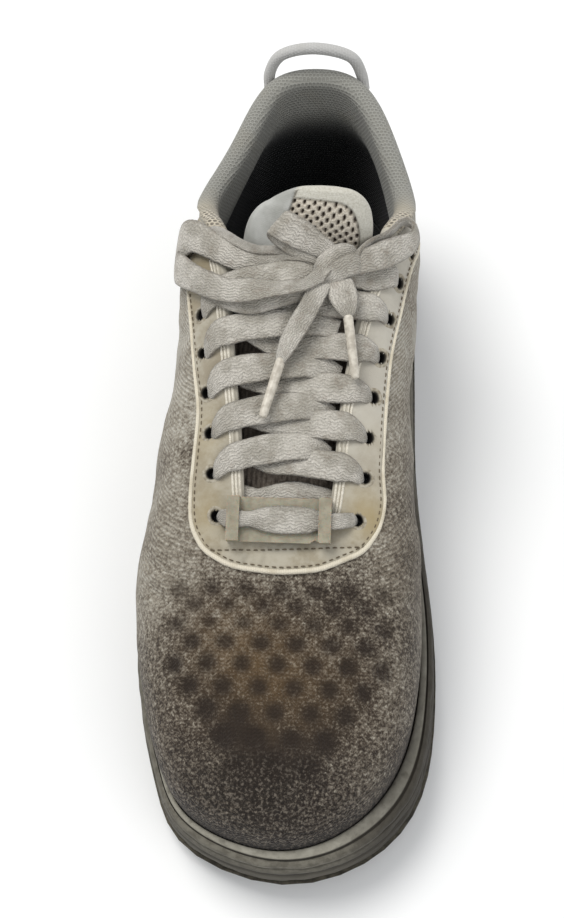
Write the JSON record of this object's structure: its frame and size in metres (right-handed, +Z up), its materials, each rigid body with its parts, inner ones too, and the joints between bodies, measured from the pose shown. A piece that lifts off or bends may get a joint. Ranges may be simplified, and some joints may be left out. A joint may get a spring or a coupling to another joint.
{
  "type": "sneaker",
  "caption": "Worn low-top knit sneaker for the right foot, empty, laced and tied in a slack bow, with foam cup sole, rubber tread and heel pull loop.",
  "frame": {"origin": "on the ground, under the middle of the box round the shoe without its bow", "axes": "+Z up, -Y towards the toe, +Y towards the heel, +X towards the medial (big toe) side"},
  "size_m": [0.1119, 0.3022, 0.1297],
  "materials": {
    "knit": "stained flat knit",
    "lining": "padded mesh lining",
    "insole": "dark brushed top cloth",
    "foam": "dirty moulded foam sidewall",
    "tread": "worn matt rubber",
    "webbing": "woven cord",
    "lace": "flat woven lace, greyed",
    "gum": "aged translucent rubber",
    "tip": "clear film over lace"
  },
  "bodies": {
    "root": {"upper": "knit", "tongue": "lining", "insole": "insole", "midsole": "foam", "outsole": "tread", "pull_loop": "webbing", "lace_cross_0": "lace", "lace_cross_1": "lace", "lace_cross_2": "lace", "lace_cross_3": "lace", "lace_cross_4": "lace", "lace_cross_5": "lace", "lace_bar": "lace", "lace_tag": "gum", "lace_knot": "lace", "lace_loop_left": "lace", "lace_loop_right": "lace", "lace_fold": "lace", "lace_end_left": "lace", "lace_end_right": "lace", "aglet_left": "tip", "aglet_right": "tip"}
  },
  "joints": []
}
